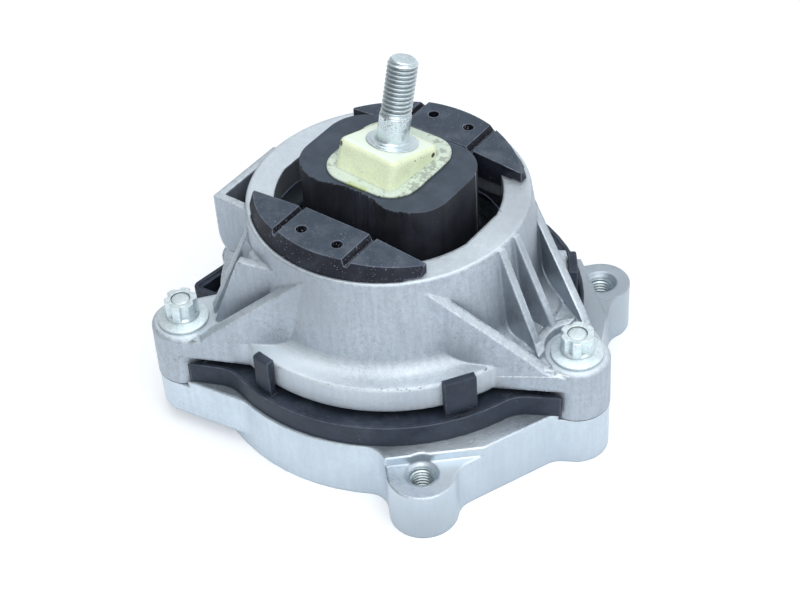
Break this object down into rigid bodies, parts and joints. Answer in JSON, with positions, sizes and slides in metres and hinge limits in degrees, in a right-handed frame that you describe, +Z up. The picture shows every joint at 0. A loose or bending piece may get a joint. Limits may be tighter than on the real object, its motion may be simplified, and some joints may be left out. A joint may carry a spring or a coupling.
{
  "type": "hydraulic engine mount",
  "caption": "Fluid-filled engine mount: ribbed cast bell bolted to a lugged cast base, rubber spring with a leaning stud, stop buffers and a clip-on skirt.",
  "frame": {"origin": "on the bell's vertical axis, level with the base bracket's underside", "axes": "+Z up along the bell's axis and out of the threaded holes; +X from the axis to the bolt that stands between the two paired threaded lugs; +Y to the rear stop buffer, the way the stud leans"},
  "size_m": [0.1923, 0.1608, 0.1471],
  "materials": {
    "cast_base": "as-cast, fine grain",
    "cast_housing": "as-cast, fine grain, machined rim",
    "zinc_bolt": "bright zinc plate",
    "stud_steel": "bright zinc plate, thread",
    "core_metal": "as-cast, pale bonding coat",
    "spring_rubber": "matt moulded rubber",
    "buffer_rubber": "matt moulded rubber",
    "carrier_plastic": "satin black moulding",
    "ring_steel": "plain pressed steel",
    "plate_alloy": "die-cast",
    "membrane_rubber": "smooth rubber"
  },
  "bodies": {
    "root": {"base_bracket": "cast_base", "upper_housing": "cast_housing", "housing_bolts": "zinc_bolt", "clip_carrier": "carrier_plastic", "front_stop_buffer": "buffer_rubber", "rear_stop_buffer": "buffer_rubber", "rubber_spring": "spring_rubber", "core_block": "core_metal", "stud": "stud_steel", "spring_ring": "ring_steel", "upper_track_plate": "plate_alloy", "lower_track_plate": "plate_alloy", "decoupler_membrane": "membrane_rubber", "bellows": "membrane_rubber", "bellows_ring": "ring_steel"}
  },
  "joints": []
}
